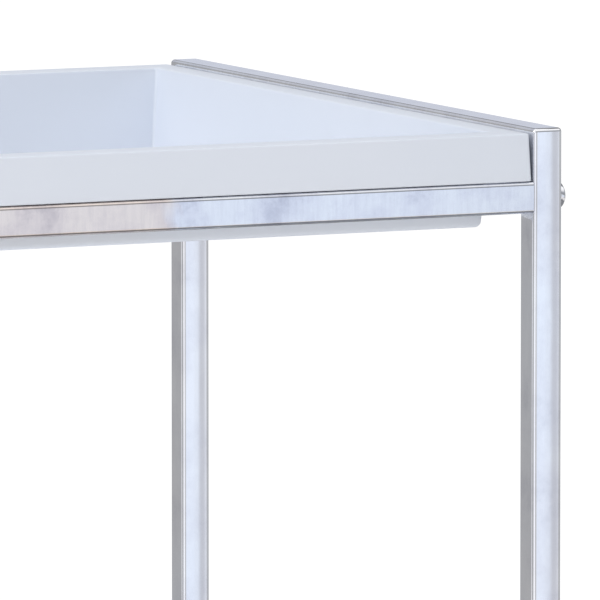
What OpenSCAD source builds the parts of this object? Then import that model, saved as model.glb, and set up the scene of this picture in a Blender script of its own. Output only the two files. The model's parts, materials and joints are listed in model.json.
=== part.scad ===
// Two-tier bar cart: square-tube frame, two lift-out moulded trays, four swivel casters.
// X runs along the cart, Y from front to back, Z up. Origin on the floor under the cart's centre.

/* [Overall] */
// Overall length along X, over the outer faces of the legs
cart_width = 760; // [500:1:1000]
// Overall depth along Y, over the outer faces of the legs
cart_depth = 522; // [360:1:700]
// Height of the top of the side rails above the floor
frame_height = 810; // [620:1:1000]
// Height of the top of the lower side rails above the floor
lower_frame_height = 300; // [240:1:420]

/* [Frame tube] */
// Outside width of the square tube
tube = 19; // [16:0.5:24]
// Outside corner radius of the square tube
tube_corner = 2.4; // [2:0.1:3]
// Wall thickness of the square tube
tube_wall = 1.5; // [1.2:0.1:1.8]
// Radius the welded top corners are ground to
corner_grind = 2.4; // [1:0.1:3]
// Drop of the front and back rails below the top of the side rails
rail_drop = 31.7; // [24:0.1:38]

/* [Trays] */
// Drop of the tray rim below the top of the side rails
rim_drop = 2.9; // [1.5:0.1:5]
// Outside height of the tray, rim top to underside
tray_height = 57.5; // [50:0.5:75]
// Wall thickness of the moulded tray
tray_wall = 2.3; // [2:0.1:3]
// Gap between the back of the front rail and the basin wall behind it, at the rim
basin_rail_gap = 0.7; // [0.5:0.1:6]
// Width of the rim's top along the two sides
rim_width_side = 16.8; // [12:0.2:24]
// Outward lean of the skirt, in degrees from vertical
skirt_draft = 2.4; // [0:0.1:4]
// Inward lean of the basin walls, in degrees from vertical
basin_draft = 5; // [1:0.5:8]
// Gap between the foot of the skirt and the leg beside it
tray_side_gap = 1.1; // [1:0.1:4]
// Gap left under the skirt where it rests on the front and back rails
tray_rest_gap = 0.3; // [0.3:0.05:0.6]
// Corner radius of the skirt seen from above
skirt_corner = 2.2; // [2:0.1:9]
// Corner radius of the basin seen from above
basin_corner = 2; // [1.6:0.1:16]
// Radius of the rim's outer top edge
rim_edge = 1.3; // [0.6:0.1:1.6]
// Radius between the basin's walls and its floor
floor_edge = 1; // [0.8:0.1:4]

/* [Fasteners] */
// Shank diameter of the rail bolts
bolt_d = 8; // [6:0.5:9]
// Diameter of the domed bolt heads
bolt_head_d = 15.2; // [12:0.2:17]
// Height of the dome on each bolt head
bolt_dome_h = 2.8; // [2:0.1:4]
// Height of the straight part of each bolt head, under its dome
bolt_collar_h = 2.6; // [1:0.1:3.5]
// Width across flats of the hexagon socket in each bolt head
bolt_socket_af = 5; // [4:0.5:6]
// Length of the threaded block in each rail end
nut_length = 22; // [16:1:30]

/* [Casters] */
// Wheel diameter
wheel_d = 75; // [60:1:90]
// Tyre width
tyre_width = 24; // [18:1:30]
// Thickness of rubber around the wheel core
tyre_thickness = 9; // [6:0.5:12]
// Trail: distance from the swivel axis back to the wheel axle
caster_trail = 26; // [22:1:32]
// Plate thickness of the caster forks
fork_plate = 2.5; // [2:0.1:3.5]
// Wheel axle diameter
axle_d = 8; // [6:0.5:10]
// Caster stem diameter
stem_d = 10; // [8:0.5:11]
// Depth of the stem socket plug inside each leg
socket_depth = 34; // [25:1:45]
// Length of the brake pedals, from the barrel to the tip
pedal_length = 36; // [24:1:44]
// Thickness of the pedal plates
pedal_plate = 3; // [2:0.5:4]
// Upward slope of the released pedals, in degrees
pedal_rise = 20; // [17:1:30]

/* [Hidden] */
$fn = 64;
eps = 0.01;
shell_fn = 32;
// smallest corner radius of an inner wall of the trays
least_corner = 0.4;
// running clearance on a radius between a pin and the bore it turns in
running = 0.05;
// gap between faces that move past each other
face_gap = 0.35;
// clearance on a radius where a bolt passes through a drilled wall
drill_clearance = 0.3;
// clearance per side of a plug inside a square tube
plug_clearance = 0.05;

half_w = cart_width / 2;
half_d = cart_depth / 2;
leg_x = half_w - tube / 2;
leg_y = half_d - tube / 2;
inner_w = cart_width - 2 * tube;
inner_d = cart_depth - 2 * tube;
tube_bore = tube - 2 * tube_wall;
tube_bore_corner = max(tube_corner - tube_wall, least_corner);
plug_side = tube_bore - 2 * plug_clearance;
plug_corner = tube_bore_corner + least_corner;

upper_rail_z = frame_height - rail_drop - tube / 2;
lower_rail_z = lower_frame_height - rail_drop - tube / 2;

bolt_hole_d = bolt_d + 2 * drill_clearance;
bolt_head_h = bolt_collar_h + bolt_dome_h;
bolt_head_r = bolt_head_d / 2;
// radius of the sphere that the dome is cut from
dome_r = (bolt_head_r * bolt_head_r + bolt_dome_h * bolt_dome_h) / (2 * bolt_dome_h);
bolt_socket_depth = bolt_head_h * 0.6;
// how far each bolt stops short of the inner end of its threaded block
bolt_end_gap = 3;
bolt_reach = tube + nut_length - bolt_end_gap;

skirt_h = rail_drop - rim_drop - tray_rest_gap;
skirt_flare = skirt_h * tan(skirt_draft);
skirt_foot_w = inner_w - 2 * tray_side_gap;
skirt_foot_d = cart_depth;
skirt_top_w = skirt_foot_w - 2 * skirt_flare;
skirt_top_d = skirt_foot_d - 2 * skirt_flare;
basin_top_w = skirt_top_w - 2 * rim_width_side;
basin_top_d = cart_depth - 2 * (tube + basin_rail_gap + tray_wall);
basin_taper = tan(basin_draft);

wheel_r = wheel_d / 2;
core_r = wheel_r - tyre_thickness;
// wall of the core's hub around the axle, and thickness of its outer rim
hub_wall = 7;
core_rim = 4;
// how far the hub stands proud of the tyre on each side, and the gap from there to the fork
hub_proud = 1;
hub_gap = 1;
hub_w = tyre_width + 2 * hub_proud;
fork_gap = hub_w + 2 * hub_gap;
fork_out = fork_gap + 2 * fork_plate;
// gap between the tyre's top and the fork's bridge
tyre_top_gap = 4;
bridge_z = wheel_d + tyre_top_gap;
fork_top_half = 15;
fork_eye_r = 10;
// how far the fork's side plates hang below its bridge, at the front and at the back
fork_front_lip = 6;
fork_back_lip = 3;
housing_d = 30;
housing_h = 9;
housing_top = bridge_z + fork_plate + housing_h;
collar_h = 2;
collar_d = 18;
socket_flange = 3;
leg_foot_z = housing_top + face_gap + collar_h + socket_flange;
// extra diameter of the stem above its collar
stem_step = 0.6;
stem_d_upper = stem_d + stem_step;
stem_rivet_d = stem_d + 6;
stem_rivet_h = 2.5;
axle_head_af = 13;
axle_head_h = 5;
axle_nut_h = 6;
// length of axle thread showing past its nut
axle_end = 3;
brake_pin_d = 6;
brake_pin_head_d = brake_pin_d + 3;
brake_pin_head_h = 1.5;
// place of the brake pin behind the wheel axle and above the bridge
brake_back = 16;
brake_rise = 4;
brake_y = caster_trail + brake_back;
brake_z = bridge_z + brake_rise;
brake_barrel_d = 10;
brake_ear_r = 6;
brake_width = fork_gap - 2 * hub_gap;
pedal_width = brake_width - 3;
shoe_width = brake_width - 6;
shoe_plate = 4;
// how far the brake shoe points below level when the brake is off, in degrees
shoe_dip = 50;
// turn of a pedal from released to pressed, in degrees
brake_travel = 16;
// gap left between the shoe and the tyre when the pedal is pressed
brake_gap = 0.3;
shoe_turn = shoe_dip + brake_travel;
// the pressed shoe's lower face, seen from the wheel's centre: where it starts and how far it drops
shoe_start = [brake_back - shoe_plate / 2 * sin(shoe_turn),
              brake_z - wheel_r - shoe_plate / 2 * cos(shoe_turn)];
shoe_drop = shoe_start[1] * sin(shoe_turn) - shoe_start[0] * cos(shoe_turn);
// length of the shoe from the pin, which ends it brake_gap short of the tyre
shoe_reach = shoe_drop - sqrt(pow(shoe_drop, 2) - shoe_start * shoe_start + pow(wheel_r + brake_gap, 2));
// where the pedal plate and the shoe start, inside the wall of the barrel
barrel_root = brake_pin_d / 2 + 0.6;

// the piece that is drawn, or all of them

// ---- shared shapes ----

// square with rounded corners, centred
module round_square(side, r) {
  square([side - 2 * r, side], center = true);
  square([side, side - 2 * r], center = true);
  for (sx = [-1, 1], sy = [-1, 1])
    translate([sx * (side / 2 - r), sy * (side / 2 - r)])
      circle(r);
}

// square tube along +Z from z = 0
module tube_up(length) {
  linear_extrude(length)
    difference() {
      round_square(tube, tube_corner);
      round_square(tube_bore, tube_bore_corner);
    }
}

// square tube along X, centred on the origin
module tube_along_x(length) {
  translate([-length / 2, 0, 0])
    rotate([0, 90, 0])
      tube_up(length);
}

// square tube along Y, centred on the origin
module tube_along_y(length) {
  translate([0, length / 2, 0])
    rotate([90, 0, 0])
      tube_up(length);
}

// block against the 45 degree mitre plane of the frame's top front corner:
// side 1 covers the rail, side -1 the leg
module mitre_block(side) {
  size = 4 * tube;
  translate([0, -half_d, frame_height])
    rotate([45, 0, 0])
      translate([0, side * size / 2, 0])
        cube([size, size, 2 * size], center = true);
}

// rounds the outer top corner edge, front end
module grind_cut() {
  translate([0, -half_d + corner_grind, frame_height - corner_grind])
    difference() {
      translate([0, -corner_grind, corner_grind])
        cube([2 * tube, 2 * corner_grind, 2 * corner_grind], center = true);
      rotate([0, 90, 0])
        cylinder(r = corner_grind, h = 4 * tube, center = true);
    }
}

// leg of the front right corner, standing on its own axis
module leg() {
  difference() {
    translate([0, -leg_y, leg_foot_z])
      tube_up(frame_height - leg_foot_z);
    mitre_block(1);
    grind_cut();
    for (z = [upper_rail_z, lower_rail_z])
      translate([0, -leg_y, z])
        rotate([0, 90, 0])
          cylinder(d = bolt_hole_d, h = 2 * tube, center = true);
  }
}

module leg_at(sx, sy) {
  color("Gainsboro")
    translate([sx * leg_x, 0, 0])
      mirror([0, sy > 0 ? 1 : 0, 0])
        leg();
}

module top_side_rail(sx) {
  color("Gainsboro")
    translate([sx * leg_x, 0, 0])
      difference() {
        translate([0, 0, frame_height - tube / 2])
          tube_along_y(cart_depth);
        for (end = [0, 1])
          mirror([0, end, 0]) {
            mitre_block(-1);
            grind_cut();
          }
      }
}

module lower_side_rail(sx) {
  color("Gainsboro")
    translate([sx * leg_x, 0, lower_frame_height - tube / 2])
      tube_along_y(inner_d);
}

module cross_rail(sy, z) {
  color("Gainsboro")
    translate([0, sy * leg_y, z])
      tube_along_x(inner_w);
}

// ---- trays ----

// four upright corner posts of one slice; used inside hull()
module slice_posts(w, d, r, z) {
  corner = max(r, least_corner);
  for (sx = [-1, 1], sy = [-1, 1])
    translate([sx * (w / 2 - corner), sy * (d / 2 - corner), z])
      cylinder(r = corner, h = eps, $fn = shell_fn);
}

// solid leaning outward on the way down, top edge rounded; inset moves every wall inward
module skirt_solid(inset, bottom, top, edge) {
  hull() {
    slice_posts(skirt_foot_w - 2 * inset - 2 * bottom * tan(skirt_draft),
                skirt_foot_d - 2 * inset - 2 * bottom * tan(skirt_draft), skirt_corner - inset, bottom);
    for (a = [0, 30, 60, 90])
      slice_posts(skirt_top_w - 2 * inset - 2 * edge * (1 - cos(a)),
                  skirt_top_d - 2 * inset - 2 * edge * (1 - cos(a)),
                  skirt_corner - inset - edge * (1 - cos(a)), top - edge + edge * sin(a) - eps);
  }
}

// basin solid tapering downward, bottom edge rounded; grow moves every wall outward
module basin_solid(grow, bottom, top, edge) {
  top_grow = 2 * grow - 2 * basin_taper * (skirt_h - top);
  low_grow = 2 * grow - 2 * basin_taper * (skirt_h - bottom - edge);
  hull() {
    slice_posts(basin_top_w + top_grow, basin_top_d + top_grow, basin_corner + grow, top - eps);
    for (a = [0, 30, 60, 90])
      slice_posts(basin_top_w + low_grow - 2 * edge * (1 - cos(a)),
                  basin_top_d + low_grow - 2 * edge * (1 - cos(a)),
                  basin_corner + grow - edge * (1 - cos(a)), bottom + edge - edge * sin(a));
  }
}

// tray with z = 0 at the foot of its skirt
module tray() {
  underside = skirt_h - tray_height;
  color("WhiteSmoke")
    difference() {
      union() {
        difference() {
          skirt_solid(0, 0, skirt_h, rim_edge);
          skirt_solid(tray_wall, -1, skirt_h - tray_wall, rim_edge / 2);
        }
        basin_solid(tray_wall, underside, skirt_h - tray_wall / 2, floor_edge + tray_wall);
      }
      basin_solid(0, underside + tray_wall, skirt_h + 1, floor_edge);
    }
}

module tray_at(frame_top) {
  translate([0, 0, frame_top - rail_drop + tray_rest_gap])
    tray();
}

// ---- fasteners ----

// domed bolt along -X, underside of the head at x = 0
module rail_bolt() {
  translate([-bolt_reach, 0, 0])
    rotate([0, 90, 0])
      cylinder(d = bolt_d, h = bolt_reach + eps);
  rotate([0, 90, 0])
    difference() {
      rotate_extrude()
        intersection() {
          union() {
            translate([0, bolt_head_h - dome_r])
              circle(dome_r);
            square([bolt_head_r, bolt_collar_h]);
          }
          square([bolt_head_r, bolt_head_h + 1]);
        }
      translate([0, 0, bolt_head_h - bolt_socket_depth])
        linear_extrude(bolt_head_h)
          circle(d = bolt_socket_af / cos(30), $fn = 6);
    }
}

// places its children at each end of each cross rail, pointing outward along X
module at_rail_ends() {
  for (sx = [-1, 1], sy = [-1, 1], z = [upper_rail_z, lower_rail_z])
    mirror([sx < 0 ? 1 : 0, 0, 0])
      translate([half_w, sy * leg_y, z])
        children();
}

module rail_bolts() {
  color("Silver")
    at_rail_ends()
      rail_bolt();
}

module rail_end_nuts() {
  color("DimGray")
    at_rail_ends()
      translate([-tube - nut_length, 0, 0])
        rotate([0, 90, 0])
          linear_extrude(nut_length)
            difference() {
              round_square(plug_side, plug_corner);
              circle(d = bolt_d + 2 * running);
            }
}

// ---- casters ----

module at_legs() {
  for (sx = [-1, 1], sy = [-1, 1])
    translate([sx * leg_x, sy * leg_y, 0])
      children();
}

module leg_sockets() {
  color("DimGray")
    at_legs()
      difference() {
        union() {
          translate([0, 0, leg_foot_z - socket_flange])
            linear_extrude(socket_flange)
              round_square(tube, tube_corner);
          translate([0, 0, leg_foot_z - eps])
            linear_extrude(socket_depth)
              round_square(plug_side, plug_corner);
        }
        translate([0, 0, leg_foot_z - socket_flange - 1])
          cylinder(d = stem_d_upper + 2 * running, h = socket_depth + socket_flange + 2);
      }
}

module caster_stems() {
  color("Silver")
    at_legs() {
      translate([0, 0, leg_foot_z - socket_flange - eps])
        cylinder(d = stem_d_upper, h = socket_depth);
      translate([0, 0, leg_foot_z - socket_flange - collar_h])
        cylinder(d = collar_d, h = collar_h);
      translate([0, 0, bridge_z - face_gap])
        cylinder(d = stem_d, h = housing_top - bridge_z + 2 * face_gap + eps);
      translate([0, 0, bridge_z - face_gap - stem_rivet_h])
        cylinder(d = stem_rivet_d, h = stem_rivet_h + eps);
    }
}

// moves a caster drawn with its wheel trailing to +Y onto its leg, wheel trailing inward
module caster_at(sx, sy) {
  translate([sx * leg_x, sy * leg_y, 0])
    mirror([sx < 0 ? 1 : 0, 0, 0])
      mirror([0, sy > 0 ? 1 : 0, 0])
        children();
}

// outline of a fork side plate, in Y (first) and Z
module fork_side(braked) {
  back = braked ? brake_y : fork_top_half;
  difference() {
    union() {
      polygon([[-fork_top_half, bridge_z + fork_plate], [-fork_top_half, bridge_z - fork_front_lip],
               [caster_trail - fork_eye_r, wheel_r], [caster_trail + fork_eye_r, wheel_r],
               [back, bridge_z - fork_back_lip], [back, bridge_z + fork_plate]]);
      translate([caster_trail, wheel_r])
        circle(fork_eye_r);
      if (braked)
        translate([brake_y, brake_z])
          circle(brake_ear_r);
    }
    translate([caster_trail, wheel_r])
      circle(d = axle_d + 2 * running);
    if (braked)
      translate([brake_y, brake_z])
        circle(d = brake_pin_d + 2 * running);
  }
}

module fork(sx, sy) {
  color("Silver")
    caster_at(sx, sy)
      difference() {
        union() {
          for (side = [-1, 1])
            translate([side * (fork_gap + fork_plate) / 2 - fork_plate / 2, 0, 0])
              rotate([90, 0, 90])
                linear_extrude(fork_plate)
                  fork_side(sy < 0);
          translate([-fork_out / 2, -fork_top_half, bridge_z])
            cube([fork_out, 2 * fork_top_half, fork_plate]);
          translate([0, 0, bridge_z + fork_plate - eps])
            cylinder(d = housing_d, h = housing_h + eps);
        }
        translate([0, 0, bridge_z - 1])
          cylinder(d = stem_d + 2 * running, h = housing_h + fork_plate + 2);
      }
}

// axle bolt with its hexagon head on +X and its nut on -X
module axle(sx, sy) {
  shank = fork_out + axle_nut_h + axle_end;
  color("Silver")
    caster_at(sx, sy)
      translate([0, caster_trail, wheel_r])
        rotate([0, 90, 0]) {
          translate([0, 0, fork_out / 2 - shank])
            cylinder(d = axle_d, h = shank + eps);
          translate([0, 0, fork_out / 2])
            linear_extrude(axle_head_h)
              circle(d = axle_head_af / cos(30), $fn = 6);
          translate([0, 0, -fork_out / 2 - axle_nut_h])
            linear_extrude(axle_nut_h)
              difference() {
                circle(d = axle_head_af / cos(30), $fn = 6);
                circle(d = axle_d + 2 * running);
              }
        }
}

module wheel_core(sx, sy) {
  web = tyre_width * 0.3;
  rim = tyre_width * 0.8;
  color("DarkGray")
    caster_at(sx, sy)
      translate([0, caster_trail, wheel_r])
        rotate([0, 90, 0])
          rotate_extrude() {
            translate([axle_d / 2 + running, -hub_w / 2])
              square([hub_wall, hub_w]);
            translate([axle_d / 2 + running, -web / 2])
              square([core_r - axle_d / 2 - running, web]);
            translate([core_r - core_rim, -rim / 2])
              square([core_rim, rim]);
          }
}

module tyre(sx, sy) {
  edge = tyre_thickness * 0.45;
  color("DimGray")
    caster_at(sx, sy)
      translate([0, caster_trail, wheel_r])
        rotate([0, 90, 0])
          rotate_extrude() {
            translate([core_r, -tyre_width / 2])
              square([tyre_thickness - edge, tyre_width]);
            translate([core_r, -tyre_width / 2 + edge])
              square([tyre_thickness, tyre_width - 2 * edge]);
            for (side = [-1, 1])
              translate([wheel_r - edge, side * (tyre_width / 2 - edge)])
                circle(edge);
          }
}

module brake_pin(sx) {
  color("Silver")
    caster_at(sx, -1)
      translate([0, brake_y, brake_z])
        rotate([0, 90, 0]) {
          cylinder(d = brake_pin_d, h = fork_out + brake_pin_head_h, center = true);
          for (side = [-1, 1])
            translate([0, 0, side * (fork_out + brake_pin_head_h) / 2])
              cylinder(d = brake_pin_head_d, h = brake_pin_head_h, center = true);
        }
}

module brake_pedal(sx) {
  color("DarkSlateGray")
    caster_at(sx, -1)
      translate([0, brake_y, brake_z])
        difference() {
          union() {
            rotate([0, 90, 0])
              cylinder(d = brake_barrel_d, h = brake_width, center = true);
            rotate([pedal_rise, 0, 0])
              translate([-pedal_width / 2, barrel_root, 0])
                cube([pedal_width, pedal_length, pedal_plate]);
            rotate([-shoe_dip, 0, 0])
              translate([-shoe_width / 2, barrel_root, -shoe_plate / 2])
                cube([shoe_width, shoe_reach - barrel_root, shoe_plate]);
          }
          rotate([0, 90, 0])
            cylinder(d = brake_pin_d + 2 * running, h = fork_out, center = true);
        }
}

// ---- one module per named piece ----

module leg_front_left() leg_at(-1, -1);
module leg_front_right() leg_at(1, -1);
module leg_back_left() leg_at(-1, 1);
module leg_back_right() leg_at(1, 1);
module top_side_rail_left() top_side_rail(-1);
module top_side_rail_right() top_side_rail(1);
module lower_side_rail_left() lower_side_rail(-1);
module lower_side_rail_right() lower_side_rail(1);
module upper_front_rail() cross_rail(-1, upper_rail_z);
module upper_back_rail() cross_rail(1, upper_rail_z);
module lower_front_rail() cross_rail(-1, lower_rail_z);
module lower_back_rail() cross_rail(1, lower_rail_z);
module upper_tray() tray_at(frame_height);
module lower_tray() tray_at(lower_frame_height);
module fork_front_left() fork(-1, -1);
module fork_front_right() fork(1, -1);
module fork_back_left() fork(-1, 1);
module fork_back_right() fork(1, 1);
module axle_front_left() axle(-1, -1);
module axle_front_right() axle(1, -1);
module axle_back_left() axle(-1, 1);
module axle_back_right() axle(1, 1);
module wheel_core_front_left() wheel_core(-1, -1);
module wheel_core_front_right() wheel_core(1, -1);
module wheel_core_back_left() wheel_core(-1, 1);
module wheel_core_back_right() wheel_core(1, 1);
module tyre_front_left() tyre(-1, -1);
module tyre_front_right() tyre(1, -1);
module tyre_back_left() tyre(-1, 1);
module tyre_back_right() tyre(1, 1);
module brake_pedal_left() brake_pedal(-1);
module brake_pedal_right() brake_pedal(1);
module brake_pin_left() brake_pin(-1);
module brake_pin_right() brake_pin(1);

leg_front_left();
leg_front_right();
leg_back_left();
leg_back_right();
top_side_rail_left();
top_side_rail_right();
lower_side_rail_left();
lower_side_rail_right();
upper_front_rail();
upper_back_rail();
lower_front_rail();
lower_back_rail();
upper_tray();
lower_tray();
rail_bolts();
rail_end_nuts();
leg_sockets();
caster_stems();
fork_front_left();
fork_front_right();
fork_back_left();
fork_back_right();
axle_front_left();
axle_front_right();
axle_back_left();
axle_back_right();
wheel_core_front_left();
wheel_core_front_right();
wheel_core_back_left();
wheel_core_back_right();
tyre_front_left();
tyre_front_right();
tyre_back_left();
tyre_back_right();
brake_pedal_left();
brake_pedal_right();
brake_pin_left();
brake_pin_right();
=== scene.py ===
"""Bar cart on wheels: finished surfaces, materials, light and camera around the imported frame."""
import json
import math

import bmesh
import bpy
from mathutils import Matrix, Vector


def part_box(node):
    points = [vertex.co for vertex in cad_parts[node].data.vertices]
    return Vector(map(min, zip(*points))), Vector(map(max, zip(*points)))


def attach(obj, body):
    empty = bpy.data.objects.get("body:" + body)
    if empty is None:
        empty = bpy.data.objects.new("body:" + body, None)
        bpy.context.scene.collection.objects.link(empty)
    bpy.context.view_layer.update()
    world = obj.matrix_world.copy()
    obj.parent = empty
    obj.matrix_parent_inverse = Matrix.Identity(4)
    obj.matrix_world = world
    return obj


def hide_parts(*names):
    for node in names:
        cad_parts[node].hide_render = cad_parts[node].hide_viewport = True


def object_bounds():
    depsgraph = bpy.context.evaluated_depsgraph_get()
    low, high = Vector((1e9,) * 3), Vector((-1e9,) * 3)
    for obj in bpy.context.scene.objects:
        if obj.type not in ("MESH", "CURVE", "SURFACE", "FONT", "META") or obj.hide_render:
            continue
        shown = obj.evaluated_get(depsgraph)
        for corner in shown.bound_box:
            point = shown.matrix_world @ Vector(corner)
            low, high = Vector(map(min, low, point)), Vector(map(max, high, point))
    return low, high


MM = 0.001

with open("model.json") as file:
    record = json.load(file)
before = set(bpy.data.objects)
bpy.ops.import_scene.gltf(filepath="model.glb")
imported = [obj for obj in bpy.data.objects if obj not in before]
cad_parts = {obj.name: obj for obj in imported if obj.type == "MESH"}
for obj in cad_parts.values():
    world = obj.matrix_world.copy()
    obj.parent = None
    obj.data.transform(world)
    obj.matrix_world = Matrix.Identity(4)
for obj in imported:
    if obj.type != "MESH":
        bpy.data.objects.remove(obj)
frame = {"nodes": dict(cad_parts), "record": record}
cad_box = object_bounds()

# ---- sizes shared with the CAD parts, in metres ----

TUBE_CORNER = 2.4 * MM
EDGE_STEPS = 12
TRAY_WALL = 2.3 * MM
TRAY_REST_GAP = 0.3 * MM
BASIN_RAIL_GAP = 0.7 * MM
RIM_SIDE = 16.8 * MM
RIM_EDGE = 1.3 * MM
SKIRT_LEAN = math.tan(math.radians(2.4))
BASIN_LEAN = math.tan(math.radians(5))
SKIRT_CORNER = 2.2 * MM
BASIN_CORNER = 2 * MM
FLOOR_EDGE = 1 * MM
LEAST_CORNER = 0.4 * MM
SHARP_ANGLE = math.radians(40)

# casters
TYRE_SHOULDER = 0.45
SIDE_LINE = 0.35 * MM
GROOVE_AT = 3.6 * MM
GROOVE_HALF = 0.9 * MM
GROOVE_DEPTH = 0.9 * MM
CORE_RIM = 4 * MM
HUB_R = 11.05 * MM
RIB = 1.8 * MM
RIB_COUNT = 8
RIB_FOOT = 3 * MM
RIB_PROUD = 7.8 * MM
PEDAL_RISE = math.radians(20)
PEDAL_PLATE = 3 * MM
GRIP = 1.5 * MM
GRIP_PROUD = 0.7 * MM
GRIP_INSET = 4.5 * MM
GRIP_START = 16 * MM
GRIP_STEP = 4 * MM
GRIP_COUNT = 5

lo, hi = (Vector(v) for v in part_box("leg_front_right"))
TUBE = hi.x - lo.x
HALF_W = hi.x
HALF_D = -lo.y
LEG_FOOT = lo.z
FRAME_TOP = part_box("top_side_rail_right")[1][2]


# ---- small helpers ----

def link(name, mesh, body, slot, *nodes, smooth=True):
    """A new visible piece that rides on a body and stands for CAD nodes."""
    for poly in mesh.polygons:
        poly.use_smooth = smooth
    piece = bpy.data.objects.new(name, mesh)
    bpy.context.scene.collection.objects.link(piece)
    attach(piece, body)
    if nodes:
        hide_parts(*nodes)
    return piece


def mesh_of(bm, name):
    bmesh.ops.recalc_face_normals(bm, faces=bm.faces)
    mesh = bpy.data.meshes.new(name)
    bm.to_mesh(mesh)
    bm.free()
    return mesh


def applied(mesh, name, *modifiers):
    """The mesh after a list of (type, settings) modifiers."""
    holder = bpy.data.objects.new(name + "_raw", mesh)
    bpy.context.scene.collection.objects.link(holder)
    for kind, settings in modifiers:
        modifier = holder.modifiers.new(kind.lower(), kind)
        for key, value in settings.items():
            setattr(modifier, key, value)
    graph = bpy.context.evaluated_depsgraph_get()
    result = bpy.data.meshes.new_from_object(holder.evaluated_get(graph))
    result.name = name
    bpy.data.objects.remove(holder)
    return result


def bevelled(mesh, name, width, steps=EDGE_STEPS, angle=30):
    return applied(mesh, name, ("BEVEL", {
        "width": width, "segments": steps, "limit_method": "ANGLE",
        "angle_limit": math.radians(angle), "harden_normals": True}))


def box_mesh(name, low, high):
    bm = bmesh.new()
    bmesh.ops.create_cube(bm, size=1)
    size = Vector(high) - Vector(low)
    middle = (Vector(high) + Vector(low)) / 2
    for v in bm.verts:
        v.co = Vector((v.co.x * size.x, v.co.y * size.y, v.co.z * size.z)) + middle
    return mesh_of(bm, name)


# ---- square tubes ----

def with_loops(mesh, planes):
    """The mesh with an edge loop where each (axis, place) plane crosses it, so that shading stays local."""
    bm = bmesh.new()
    bm.from_mesh(mesh)
    for axis, place in planes:
        point, normal = Vector(), Vector()
        point[axis], normal[axis] = place, 1
        geometry = bm.verts[:] + bm.edges[:] + bm.faces[:]
        bmesh.ops.bisect_plane(bm, geom=geometry, plane_co=point, plane_no=normal)
    return mesh_of(bm, mesh.name)


def side_frame(side):
    """Two legs and the top rail between them, as one ground and welded bend, cut apart at the mitres."""
    outer = [(-HALF_D, LEG_FOOT), (-HALF_D, FRAME_TOP), (HALF_D, FRAME_TOP), (HALF_D, LEG_FOOT)]
    inner = [(HALF_D - TUBE, LEG_FOOT), (HALF_D - TUBE, FRAME_TOP - TUBE),
             (TUBE - HALF_D, FRAME_TOP - TUBE), (TUBE - HALF_D, LEG_FOOT)]
    x_low = (HALF_W - TUBE) if side > 0 else -HALF_W
    bm = bmesh.new()
    ends = []
    for x in (x_low, x_low + TUBE):
        ends.append([bm.verts.new((x, y, z)) for y, z in outer + inner])
    for ring in ends:
        quads = [(0, 1, 6, 7), (1, 2, 5, 6), (2, 3, 4, 5)]
        for quad in quads:
            bm.faces.new([ring[i] for i in quad])
    count = len(ends[0])
    for i in range(count):
        j = (i + 1) % count
        bm.faces.new((ends[0][i], ends[0][j], ends[1][j], ends[1][i]))
    bmesh.ops.recalc_face_normals(bm, faces=bm.faces)
    weight = bm.edges.layers.float.new("bevel_weight_edge")
    for edge in bm.edges:
        turned = edge.link_faces[0].normal.angle(edge.link_faces[1].normal, 0)
        edge[weight] = 1.0 if turned > 0.1 else 0.0
    whole = applied(mesh_of(bm, "side_frame"), "side_frame", ("BEVEL", {
        "width": TUBE_CORNER, "segments": EDGE_STEPS, "limit_method": "WEIGHT"}))
    near = 1.5 * TUBE_CORNER
    whole = with_loops(whole, (
        (2, FRAME_TOP - near), (2, FRAME_TOP - TUBE - near), (2, LEG_FOOT + near),
        (1, HALF_D - near), (1, HALF_D - TUBE - near), (1, near - HALF_D), (1, TUBE + near - HALF_D)))
    word = "right" if side > 0 else "left"
    cuts = {
        "leg_front_" + word: [(-1, -1)],
        "leg_back_" + word: [(1, -1)],
        "top_side_rail_" + word: [(-1, 1), (1, 1)],
    }
    for node, planes in cuts.items():
        bm = bmesh.new()
        bm.from_mesh(whole)
        for end, keep in planes:
            # the mitre plane of this end; keep 1 leaves the rail, keep -1 the leg
            normal = Vector((0, end, -1)).normalized() * keep
            point = Vector((0, end * HALF_D, FRAME_TOP))
            if keep < 0:
                middle = bm.verts[:] + bm.edges[:] + bm.faces[:]
                bmesh.ops.bisect_plane(
                    bm, geom=middle, plane_co=(0, 0, 0), plane_no=(0, -end, 0), clear_outer=True)
            geometry = bm.verts[:] + bm.edges[:] + bm.faces[:]
            cut = bmesh.ops.bisect_plane(bm, geom=geometry, plane_co=point, plane_no=normal, clear_outer=True)
            rim = [e for e in cut["geom_cut"] if isinstance(e, bmesh.types.BMEdge)]
            bmesh.ops.contextual_create(bm, geom=rim)
        mesh = mesh_of(bm, node)
        mesh.set_sharp_from_angle(angle=SHARP_ANGLE)
        mesh.materials.append(tube_materials["Y" if node.startswith("top") else "Z"])
        link(node + "_tube", mesh, "frame", "tube", node)


def straight_tube(node):
    low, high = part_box(node)
    mesh = box_mesh(node, low, high)
    bm = bmesh.new()
    bm.from_mesh(mesh)
    weight = bm.edges.layers.float.new("bevel_weight_edge")
    size = Vector(high) - Vector(low)
    run = max(range(3), key=lambda i: size[i])
    for edge in bm.edges:
        along = abs((edge.verts[0].co - edge.verts[1].co)[run]) > TUBE
        edge[weight] = 1.0 if along else 0.0
    mesh = applied(mesh_of(bm, node), node, ("BEVEL", {
        "width": TUBE_CORNER, "segments": EDGE_STEPS, "limit_method": "WEIGHT"}))
    mesh.set_sharp_from_angle(angle=SHARP_ANGLE)
    mesh.materials.append(tube_materials["XYZ"[run]])
    link(node + "_tube", mesh, "frame", "tube", node)


# ---- trays ----

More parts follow.
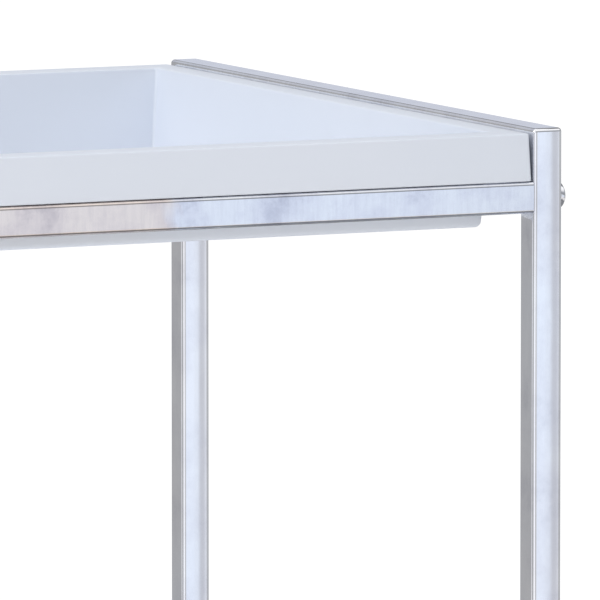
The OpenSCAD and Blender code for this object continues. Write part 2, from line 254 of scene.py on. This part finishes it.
def rounded_ring(width, depth, radius, z, arc_steps=10, long_steps=40, short_steps=28):
    """Points around a rounded rectangle, with the same count whatever its size."""
    radius = max(radius, LEAST_CORNER)
    hx, hy = width / 2 - radius, depth / 2 - radius
    points = []
    corners = [(hx, hy, 0), (-hx, hy, 1), (-hx, -hy, 2), (hx, -hy, 3)]
    for index, (cx, cy, quarter) in enumerate(corners):
        for step in range(arc_steps + 1):
            angle = (quarter + step / arc_steps) * math.pi / 2
            points.append(Vector((cx + radius * math.cos(angle), cy + radius * math.sin(angle), z)))
        nx, ny, next_quarter = corners[(index + 1) % 4]
        start = points[-1]
        angle = next_quarter * math.pi / 2
        end = Vector((nx + radius * math.cos(angle), ny + radius * math.sin(angle), z))
        steps = long_steps if index % 2 == 0 else short_steps
        for step in range(1, steps):
            points.append(start.lerp(end, step / steps))
    return points


def arc(steps=6):
    return [math.radians(90 * i / steps) for i in range(steps + 1)]


def tray(node, rail_node):
    low, high = (Vector(v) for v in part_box(node))
    foot_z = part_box(rail_node)[1][2] + TRAY_REST_GAP
    foot_w, foot_d = high.x - low.x, high.y - low.y
    top_z, under_z = high.z, low.z
    flare = (top_z - foot_z) * SKIRT_LEAN
    basin_w = foot_w - 2 * flare - 2 * RIM_SIDE
    basin_d = foot_d - 2 * (TUBE + BASIN_RAIL_GAP + TRAY_WALL)

    def skirt(z, inset, corner=0.0):
        shrink = 2 * ((z - foot_z) * SKIRT_LEAN + inset)
        return rounded_ring(foot_w - shrink, foot_d - shrink, SKIRT_CORNER - inset - corner, z)

    def basin(z, grow, corner=0.0):
        shrink = 2 * ((top_z - z) * BASIN_LEAN - grow)
        return rounded_ring(basin_w - shrink, basin_d - shrink, BASIN_CORNER + grow - corner, z)

    floor_z = under_z + TRAY_WALL
    channel_z = top_z - TRAY_WALL
    outer_floor_edge = FLOOR_EDGE + TRAY_WALL
    foot_edge = TRAY_WALL * 0.35
    rings = []
    # basin floor edge, then up the wall
    for a in reversed(arc()):
        rings.append(basin(floor_z + FLOOR_EDGE * (1 - math.sin(a)), -FLOOR_EDGE * (1 - math.cos(a))))
    for share in (0.25, 0.5, 0.75):
        rings.append(basin(floor_z + FLOOR_EDGE + (top_z - RIM_EDGE - floor_z - FLOOR_EDGE) * share, 0))
    # inner edge of the rim turns outward onto its top
    for a in arc():
        rings.append(basin(top_z - RIM_EDGE + RIM_EDGE * math.sin(a), RIM_EDGE * (1 - math.cos(a))))
    # outer edge of the rim turns down onto the skirt
    for a in reversed(arc()):
        rings.append(skirt(top_z - RIM_EDGE * (1 - math.sin(a)), RIM_EDGE * (1 - math.cos(a))))
    for share in (0.66, 0.33):
        rings.append(skirt(foot_z + foot_edge + (top_z - RIM_EDGE - foot_z - foot_edge) * share, 0))
    for a in arc(3):
        rings.append(skirt(foot_z + foot_edge * (1 - math.sin(a)), foot_edge * (1 - math.cos(a))))
    for a in reversed(arc(3)):
        rings.append(skirt(foot_z + foot_edge * (1 - math.sin(a)), TRAY_WALL - foot_edge * (1 - math.cos(a))))
    rings.append(skirt(channel_z - RIM_EDGE, TRAY_WALL))
    rings.append(skirt(channel_z, TRAY_WALL + RIM_EDGE * 0.6))
    rings.append(basin(channel_z, TRAY_WALL + RIM_EDGE * 0.6))
    rings.append(basin(channel_z - RIM_EDGE, TRAY_WALL))
    rings.append(basin(under_z + outer_floor_edge * 2, TRAY_WALL))
    for a in arc():
        rings.append(basin(under_z + outer_floor_edge * (1 - math.sin(a)),
                           TRAY_WALL - outer_floor_edge * (1 - math.cos(a))))
    bm = bmesh.new()
    rows = [[bm.verts.new(p) for p in ring] for ring in rings]
    count = len(rows[0])
    for a, b in zip(rows, rows[1:]):
        for i in range(count):
            j = (i + 1) % count
            bm.faces.new((a[i], a[j], b[j], b[i]))
    bm.faces.new(rows[0])
    bm.faces.new(reversed(rows[-1]))
    mesh = mesh_of(bm, node)
    mesh.materials.append(tray_material)
    link(node + "_moulding", mesh, node, "tray", node)


# ---- casters ----

def lathe(bm, centre, profile, segments=96):
    """A ring turned about the X axis through a centre, from a closed profile of (radius, along X)."""
    rows = []
    for step in range(segments):
        a = 2 * math.pi * step / segments
        rows.append([bm.verts.new((
            centre.x + along, centre.y + radius * math.cos(a), centre.z + radius * math.sin(a)))
            for radius, along in profile])
    count = len(profile)
    for step, row in enumerate(rows):
        after = rows[(step + 1) % segments]
        for i in range(count):
            j = (i + 1) % count
            bm.faces.new((row[i], row[j], after[j], after[i]))


def add_box(bm, low, high, turn, about):
    """A box joined to a mesh, turned about an X-parallel line through a point."""
    made = bmesh.ops.create_cube(bm, size=1)["verts"]
    size = Vector(high) - Vector(low)
    middle = (Vector(high) + Vector(low)) / 2
    spin = Matrix.Rotation(turn, 3, "X")
    for v in made:
        v.co = spin @ (Vector((v.co.x * size.x, v.co.y * size.y, v.co.z * size.z)) + middle) + about


def tyre(place):
    """A tyre with rounded shoulders, two tread grooves and a line round each side wall."""
    low, high = (Vector(v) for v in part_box("tyre_" + place))
    core_low, core_high = (Vector(v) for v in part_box("wheel_core_" + place))
    centre = (low + high) / 2
    radius, half = (high.z - low.z) / 2, (high.x - low.x) / 2
    inner = (core_high.z - core_low.z) / 2
    shoulder = TYRE_SHOULDER * (radius - inner)
    line = inner + (radius - shoulder - inner) * 0.5
    side = [(inner, half), (line - SIDE_LINE, half), (line, half - SIDE_LINE), (line + SIDE_LINE, half)]
    for a in arc(8):
        side.append((radius - shoulder * (1 - math.cos(a)), half - shoulder * (1 - math.sin(a))))
    side[4:] = reversed(side[4:])
    for shift, depth in ((GROOVE_HALF, 0), (GROOVE_HALF * 0.6, GROOVE_DEPTH),
                         (-GROOVE_HALF * 0.6, GROOVE_DEPTH), (-GROOVE_HALF, 0)):
        side.append((radius - depth, GROOVE_AT + shift))
    profile = side + [(r, -along) for r, along in reversed(side)]
    bm = bmesh.new()
    lathe(bm, centre, profile)
    mesh = mesh_of(bm, "tyre_" + place)
    mesh.materials.append(tyre_material)
    link("tyre_" + place + "_finished", mesh, "wheel_" + place, "tyre", "tyre_" + place)
    mesh.set_sharp_from_angle(angle=SHARP_ANGLE)


def wheel_ribs(bm, place):
    """Stiffening ribs between the hub and the rim, on both faces of the core."""
    low, high = (Vector(v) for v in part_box("wheel_core_" + place))
    centre = (low + high) / 2
    rim_inside = (high.z - low.z) / 2 - CORE_RIM
    for index in range(RIB_COUNT):
        for face in (-1, 1):
            near, far = sorted((face * RIB_FOOT, face * RIB_PROUD))
            add_box(bm, (near, -RIB / 2, HUB_R - LEAST_CORNER), (far, RIB / 2, rim_inside + LEAST_CORNER),
                    2 * math.pi * index / RIB_COUNT, centre)


def pedal_ribs(bm, word):
    """Raised grip bars across the pedal's plate."""
    joints = frame["record"]["behaviour"]["joints"]
    pivot = next(Vector(joint["pos_m"]) for joint in joints if joint["name"] == "brake_" + word)
    low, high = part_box("brake_pedal_" + word)
    half = (high[0] - low[0]) / 2 - GRIP_INSET
    for index in range(GRIP_COUNT):
        y = GRIP_START + index * GRIP_STEP
        low, high = (-half, y, PEDAL_PLATE - LEAST_CORNER), (half, y + GRIP, PEDAL_PLATE + GRIP_PROUD)
        add_box(bm, low, high, PEDAL_RISE, pivot)


# ---- materials ----

def new_material(name):
    material = bpy.data.materials.new(name)
    material.use_nodes = True
    nodes = material.node_tree.nodes
    links = material.node_tree.links
    shader = nodes["Principled BSDF"]
    return material, nodes, links, shader


def noise(nodes, links, scale, detail=3.0, roughness=0.5, stretch=(1, 1, 1)):
    where = nodes.new("ShaderNodeTexCoord")
    mapping = nodes.new("ShaderNodeMapping")
    mapping.inputs["Scale"].default_value = stretch
    texture = nodes.new("ShaderNodeTexNoise")
    texture.inputs["Scale"].default_value = scale
    texture.inputs["Detail"].default_value = detail
    texture.inputs["Roughness"].default_value = roughness
    links.new(where.outputs["Object"], mapping.inputs["Vector"])
    links.new(mapping.outputs["Vector"], texture.inputs["Vector"])
    return texture.outputs["Fac"]


def ramp(nodes, links, value, stops):
    node = nodes.new("ShaderNodeValToRGB")
    elements = node.color_ramp.elements
    while len(elements) < len(stops):
        elements.new(0.5)
    for element, (place, colour) in zip(elements, stops):
        element.position = place
        element.color = (*colour, 1)
    links.new(value, node.inputs["Fac"])
    return node.outputs["Color"]


def span(nodes, links, value, low, high, from_low=0.3, from_high=0.7):
    node = nodes.new("ShaderNodeMapRange")
    node.inputs["From Min"].default_value = from_low
    node.inputs["From Max"].default_value = from_high
    node.inputs["To Min"].default_value = low
    node.inputs["To Max"].default_value = high
    links.new(value, node.inputs["Value"])
    return node.outputs["Result"]


def bump(nodes, links, height, strength, distance, below=None):
    node = nodes.new("ShaderNodeBump")
    node.inputs["Strength"].default_value = strength
    node.inputs["Distance"].default_value = distance
    links.new(height, node.inputs["Height"])
    if below is not None:
        links.new(below, node.inputs["Normal"])
    return node.outputs["Normal"]


def tinted(nodes, links, colour, tint):
    node = nodes.new("ShaderNodeMix")
    node.data_type = "RGBA"
    node.blend_type = "MULTIPLY"
    node.inputs["Factor"].default_value = 1
    links.new(colour, node.inputs["A"])
    links.new(tint, node.inputs["B"])
    return node.outputs["Result"]


def plated(name, stops, roughness, cloud_scale, streaks=(1, 1, 1), waviness=0.03 * MM, warm=None,
           drift_and_painted_reflection_tint=(1.0, 0.975, 0.96)):
    """Bright plating: cloudy reflectance, a slow warm and cool drift, fine cross streaks, a wavy skin; a
    given warm run paints a warm reflection onto one stretch of the tube.
    """
    material, nodes, links, shader = new_material(name)
    shader.inputs["Metallic"].default_value = 1.0
    clouds = noise(nodes, links, cloud_scale, 6, 0.62)
    colour = ramp(nodes, links, clouds, stops)
    # a given warm run paints a warm reflection onto the tube; without one the drift is random tone
    drift = noise(nodes, links, 4.5, 2, 0.5) if warm is None else painted_reflection_run(nodes, links, *warm)
    colour = tinted(nodes, links, colour, ramp(nodes, links, drift, [(0.35, drift_and_painted_reflection_tint), (0.6, COOL_TINT)]))
    fine = noise(nodes, links, 40, 4, 0.6, streaks)
    colour = tinted(nodes, links, colour, ramp(nodes, links, fine, STREAK_TINTS))
    links.new(colour, shader.inputs["Base Color"])
    links.new(span(nodes, links, clouds, roughness[1], roughness[0]), shader.inputs["Roughness"])
    waves = bump(nodes, links, noise(nodes, links, 28, 2, 0.4), 1.0, waviness)
    grain = bump(nodes, links, fine, 0.6, 0.004 * MM, waves)
    links.new(grain, shader.inputs["Normal"])
    return material


def painted_reflection_run(nodes, links, centre, length):
    """0 at the middle of a painted warm reflection along a tube, 1 away from there, uneven along its run."""
    where = nodes.new("ShaderNodeTexCoord")
    split = nodes.new("ShaderNodeSeparateXYZ")
    links.new(where.outputs["Object"], split.inputs["Vector"])
    wander = span(nodes, links, noise(nodes, links, 12, 4, 0.6), -length / 3, length / 3)
    moved = nodes.new("ShaderNodeMath")
    links.new(split.outputs["X"], moved.inputs[0])
    links.new(wander, moved.inputs[1])
    away = nodes.new("ShaderNodeMath")
    away.operation = "SUBTRACT"
    links.new(moved.outputs["Value"], away.inputs[0])
    away.inputs[1].default_value = centre
    size = nodes.new("ShaderNodeMath")
    size.operation = "ABSOLUTE"
    links.new(away.outputs["Value"], size.inputs[0])
    return span(nodes, links, size.outputs["Value"], 0, 1, length / 4, length)


def plastic(name, base, shade, roughness, grain=0.06, grain_scale=700):
    material, nodes, links, shader = new_material(name)
    clouds = noise(nodes, links, 5, 3, 0.5)
    links.new(ramp(nodes, links, clouds, [(0.3, shade), (0.65, base)]), shader.inputs["Base Color"])
    wear = noise(nodes, links, 30, 3)
    links.new(span(nodes, links, wear, roughness[0], roughness[1]), shader.inputs["Roughness"])
    waves = bump(nodes, links, noise(nodes, links, 9, 2, 0.4), 0.1, 0.5 * MM)
    fine = noise(nodes, links, grain_scale, 2)
    links.new(bump(nodes, links, fine, grain, 0.03 * MM, waves), shader.inputs["Normal"])
    return material


STREAK_TINTS = [(0.3, (0.94, 0.94, 0.95)), (0.6, (1, 1, 1))]
# warm tint for one stretch of the front and back rails: painted reflection
RAIL_PAINTED_REFLECTION_TINT = (1.0, 0.88, 0.785)
COOL_TINT = (0.985, 0.99, 1.0)
CHROME_CLOUDS = [(0.30, (0.76, 0.77, 0.81)), (0.44, (0.87, 0.88, 0.91)), (0.58, (0.93, 0.945, 0.965))]
# a darker copy of CHROME_CLOUDS for the front and back rails: painted shade
PAINTED_SHADE_RAIL_CLOUDS = [(0.30, (0.60, 0.61, 0.68)), (0.44, (0.76, 0.77, 0.82)), (0.58, (0.83, 0.845, 0.87))]
# streaks cross the tube: quick changes along its run, slow ones over its width
tube_materials = {
    # the front and back rails carry painted shade (darker clouds) and a painted warm reflection
    "X": plated("rail_plating", PAINTED_SHADE_RAIL_CLOUDS, (0.05, 0.11), 34, (9, 1, 0.8), warm=(0.06, 0.13),
                drift_and_painted_reflection_tint=RAIL_PAINTED_REFLECTION_TINT),
    "Y": plated("side_rail_plating", CHROME_CLOUDS, (0.05, 0.11), 34, (1, 9, 0.8)),
    "Z": plated("leg_plating", CHROME_CLOUDS, (0.04, 0.09), 24, (2.2, 2.2, 0.5)),
}
tray_material = plastic("tray_moulding", (0.81, 0.85, 0.925), (0.79, 0.835, 0.91), (0.28, 0.40))
ZINC_CLOUDS = [(0.30, (0.52, 0.515, 0.50)), (0.5, (0.66, 0.665, 0.67)), (0.65, (0.74, 0.745, 0.75))]
zinc_material = plated("zinc_plating", ZINC_CLOUDS, (0.18, 0.32), 90, waviness=0.01 * MM)
bolt_material = plated("bolt_plating", CHROME_CLOUDS, (0.08, 0.14), 120, waviness=0.01 * MM)
socket_material = plastic(
    "socket_nylon", (0.035, 0.035, 0.037), (0.028, 0.028, 0.03), (0.42, 0.55), 0.15, 1500)
core_material = plastic("core_nylon", (0.30, 0.31, 0.32), (0.27, 0.28, 0.29), (0.40, 0.52), 0.12, 1500)
tyre_material = plastic("tyre_rubber", (0.045, 0.045, 0.047), (0.036, 0.036, 0.038), (0.58, 0.74), 0.3, 1800)
pedal_material = plastic("pedal_nylon", (0.018, 0.018, 0.019), (0.014, 0.014, 0.015), (0.38, 0.5), 0.2, 1500)

# ---- the pieces ----

for side in (-1, 1):
    side_frame(side)
for node in frame["nodes"]:
    if node.startswith("lower_side_rail") or node.endswith(("_front_rail", "_back_rail")):
        straight_tube(node)
tray("upper_tray", "upper_front_rail")
tray("lower_tray", "lower_front_rail")

SMALL_PARTS = {
    "rail_bolts": (bolt_material, "bolt", 0.25), "rail_end_nuts": (zinc_material, "steel", 0.2),
    "leg_sockets": (socket_material, "socket", 0.4), "caster_stems": (zinc_material, "steel", 0.3),
    "fork_": (zinc_material, "fork", 0.5), "axle_": (zinc_material, "steel", 0.3),
    "brake_pin": (zinc_material, "steel", 0.3), "wheel_core": (core_material, "wheel_core", 0.5),
    "brake_pedal": (pedal_material, "pedal", 0.7),
}
body_of = {node: body for body, nodes in frame["record"]["behaviour"]["bodies"].items() for node in nodes}
for node, source in frame["nodes"].items():
    for start, (material, slot, edge) in SMALL_PARTS.items():
        if node.startswith(start):
            bm = bmesh.new()
            bm.from_mesh(source.data)
            bm.transform(source.matrix_world)
            bmesh.ops.remove_doubles(bm, verts=bm.verts, dist=1e-6)
            bmesh.ops.dissolve_limit(bm, angle_limit=math.radians(0.5), verts=bm.verts, edges=bm.edges)
            if slot == "wheel_core":
                wheel_ribs(bm, node.removeprefix("wheel_core_"))
            if slot == "pedal":
                pedal_ribs(bm, node.removeprefix("brake_pedal_"))
            mesh = bevelled(mesh_of(bm, node), node, edge * MM, 3)
            mesh.materials.clear()
            mesh.materials.append(material)
            link(node + "_finished", mesh, body_of[node], slot, node)

for node in frame["nodes"]:
    if node.startswith("tyre_"):
        tyre(node.removeprefix("tyre_"))

# ---- studio ----

FLOOR_RADIUS = 2.6
FLOOR_COLOUR = (0.96, 0.935, 0.905)
bm = bmesh.new()
bmesh.ops.create_circle(bm, cap_ends=True, segments=96, radius=FLOOR_RADIUS)
floor_mesh = mesh_of(bm, "floor")
floor = bpy.data.objects.new("floor", floor_mesh)
bpy.context.scene.collection.objects.link(floor)
floor_material, nodes, links, shader = new_material("floor_paint")
shader.inputs["Base Color"].default_value = (*FLOOR_COLOUR, 1)
shader.inputs["Roughness"].default_value = 0.6
floor_mesh.materials.append(floor_material)
floor.location.z = cad_box[0][2]

world = bpy.data.worlds.new("studio")
bpy.context.scene.world = world
world.use_nodes = True
nodes, links = world.node_tree.nodes, world.node_tree.links
background = nodes["Background"]
direction = nodes.new("ShaderNodeTexCoord").outputs["Generated"]


def lobe(toward, low, high):
    """1 near a direction, 0 away from it; low and high are cosines."""
    dot = nodes.new("ShaderNodeVectorMath")
    dot.operation = "DOT_PRODUCT"
    dot.inputs[1].default_value = Vector(toward).normalized()
    links.new(direction, dot.inputs[0])
    fade = nodes.new("ShaderNodeMapRange")
    fade.interpolation_type = "SMOOTHSTEP"
    fade.inputs["From Min"].default_value = low
    fade.inputs["From Max"].default_value = high
    links.new(dot.outputs["Value"], fade.inputs["Value"])
    return fade.outputs["Result"]


def shade(below, fac, colour):
    mix = nodes.new("ShaderNodeMix")
    mix.data_type = "RGBA"
    links.new(fac, mix.inputs["Factor"])
    if isinstance(below, tuple):
        mix.inputs["A"].default_value = (*below, 1)
    else:
        links.new(below, mix.inputs["A"])
    mix.inputs["B"].default_value = (*colour, 1)
    return mix.outputs["Result"]


def sin_deg(degrees):
    return math.sin(math.radians(degrees))


def bearing(degrees, rise=0):
    a, e = math.radians(degrees), math.radians(rise)
    return (math.sin(a) * math.cos(e), math.cos(a) * math.cos(e), math.sin(e))


# pale below, a white band under the horizon, softer at it, bright again overhead
sky = shade((0.82, 0.79, 0.77), lobe((0, 0, 1), sin_deg(-20), sin_deg(-12)), (1.06, 1.06, 1.06))
sky = shade(sky, lobe((0, 0, 1), sin_deg(-3), sin_deg(4)), (0.33, 0.345, 0.38))
sky = shade(sky, lobe((0, 0, 1), sin_deg(18), sin_deg(50)), (1.09, 1.09, 1.10))
links.new(sky, background.inputs["Color"])


def reflector(name, mesh):
    """A studio card that only reflections see."""
    card = bpy.data.objects.new(name, mesh)
    bpy.context.scene.collection.objects.link(card)
    card.visible_camera = False
    card.visible_diffuse = False
    card.visible_transmission = False
    card.visible_shadow = False


def glow(name, strength_colour):
    material, nodes, links, shader = new_material(name)
    nodes.remove(shader)
    emission = nodes.new("ShaderNodeEmission")
    links.new(emission.outputs["Emission"], nodes["Material Output"].inputs["Surface"])
    emission.inputs["Color"].default_value = (*strength_colour, 1)
    return material


# cards stand around the cart; each entry is the bearing where a tone starts, clockwise from the back
CARD_RADIUS = 7
CARD_TONES = [
    (0, (0.46, 0.47, 0.5)), (14, (0.61, 0.64, 0.73)), (36, (0.3, 0.31, 0.33)),
    (60, (0.46, 0.47, 0.49)), (104, (0.52, 0.53, 0.55)), (144, (0.66, 0.68, 0.72)),
    (145, (0.86, 0.89, 0.96)), (147.6, (0.6, 0.62, 0.68)), (150, (0.83, 0.89, 1.0)),
    (152, (0.86, 0.93, 1.06)), (158.4, (0.58, 0.6, 0.64)), (163, (0.74, 0.76, 0.8)),
    (178, (0.56, 0.57, 0.6)), (203, (1.15, 1.17, 1.22)), (233, (0.62, 0.63, 0.66)),
    (266, (0.33, 0.34, 0.36)), (296, (1.0, 1.01, 1.05)), (322, (0.33, 0.335, 0.35)),
    (328, (0.41, 0.415, 0.43)), (342, (0.31, 0.315, 0.33)), (350, (0.46, 0.47, 0.5)),
]
CARD_BLEND = 1
SHADED_FRONT = (0.33, 0.34, 0.36)
SHADED_BACK = (0.24, 0.245, 0.26)
HALF_SHADED = (0.55, 0.57, 0.63)
SHADE_START, SHADE_END = 12, 96
BACK_SPAN = (325, 360 + SHADE_END)
LOW_RISE, SPLIT_RISE, HIGH_RISE, TOP_RISE = -16.5, 2.5, 17, 62


def card_tone(degrees):
    """The tone at a bearing, blended where one card meets the next."""
    current = max(i for i, (start, _) in enumerate(CARD_TONES) if start <= degrees)
    start, tone = CARD_TONES[current]
    before = CARD_TONES[current - 1][1]
    mix = min(1, (degrees - start) / CARD_BLEND)
    return [a + (b - a) * mix for a, b in zip(before, tone)]


def upper_tone(degrees):
    return SHADED_FRONT if 100 <= degrees < 216 else card_tone(degrees)


def back_tone(degrees):
    return SHADED_BACK if SHADE_START <= degrees < SHADE_END else HALF_SHADED


def card_wall(name, low_rise, high_rise, tone_at, start=0, end=360):
    """A wall on the card circle between two rises, toned by bearing."""
    bm = bmesh.new()
    tones = bm.loops.layers.float_color.new("tone")
    low, high = (FRAME_TOP + CARD_RADIUS * math.tan(math.radians(rise)) for rise in (low_rise, high_rise))
    steps = (end - start) * 2
    for step in range(steps):
        corners = []
        first, last = start + step / 2, start + (step + 1) / 2
        for angle, z in ((first, low), (last, low), (last, high), (first, high)):
            x, y, _ = bearing(angle)
            corners.append((bm.verts.new((CARD_RADIUS * x, CARD_RADIUS * y, z)), angle))
        face = bm.faces.new([v for v, _ in corners])
        for loop, (_, angle) in zip(face.loops, corners):
            loop[tones] = (*tone_at(angle % 360), 1)
    mesh = mesh_of(bm, name)
    mesh.materials.append(card_material)
    reflector(name, mesh)


card_material = glow("card_tones", (1, 1, 1))
nodes, links = card_material.node_tree.nodes, card_material.node_tree.links
attribute = nodes.new("ShaderNodeVertexColor")
attribute.layer_name = "tone"
links.new(attribute.outputs["Color"], nodes["Emission"].inputs["Color"])
card_wall("cards", LOW_RISE, SPLIT_RISE, card_tone)
card_wall("upper_cards", SPLIT_RISE, HIGH_RISE, upper_tone)
card_wall("back_cards", HIGH_RISE, TOP_RISE, back_tone, *BACK_SPAN)

# a dark disc on the floor round the cart that only reflections see: painted shade of the floor under the cart
FLOOR_SHADE_CARD_RADIUS = 1.5
FLOOR_SHADE_TONE = (0.26, 0.265, 0.28)
bm = bmesh.new()
bmesh.ops.create_circle(bm, cap_ends=True, segments=64, radius=FLOOR_SHADE_CARD_RADIUS)
bmesh.ops.translate(bm, verts=bm.verts, vec=(0, 0, cad_box[0][2] + 0.5 * MM))
floor_shade_card = mesh_of(bm, "floor_shade_card")
floor_shade_card.materials.append(glow("floor_shade_card", FLOOR_SHADE_TONE))
reflector("floor_shade_card", floor_shade_card)

KEY_PLACE = (-3.2, -0.9, 2.3)
KEY_WIDTH, KEY_HEIGHT = 2.4, 1.6
KEY_POWER = 43
key_data = bpy.data.lights.new("key", "AREA")
key_data.shape = "RECTANGLE"
key_data.size, key_data.size_y = KEY_WIDTH, KEY_HEIGHT
key_data.energy = KEY_POWER
key = bpy.data.objects.new("key", key_data)
bpy.context.scene.collection.objects.link(key)
key.location = KEY_PLACE
key.rotation_euler = (Vector((0, 0, FRAME_TOP)) - key.location).to_track_quat("-Z", "Y").to_euler()

# ---- camera ----

CAMERA_LENS = 625.7
CAMERA_PLACE = (-2.3922, -5.7854, 1.3933)
CAMERA_DIP, CAMERA_TURN = 6.3408, -25.1987

camera_data = bpy.data.cameras.new("camera")
camera_data.sensor_width = 36
camera_data.lens = CAMERA_LENS
camera_data.clip_end = 100
camera = bpy.data.objects.new("camera", camera_data)
bpy.context.scene.collection.objects.link(camera)
camera.location = CAMERA_PLACE
camera.rotation_euler = (math.radians(90 - CAMERA_DIP), 0, math.radians(CAMERA_TURN))
bpy.context.scene.camera = camera

bpy.context.scene.view_settings.view_transform = "Standard"
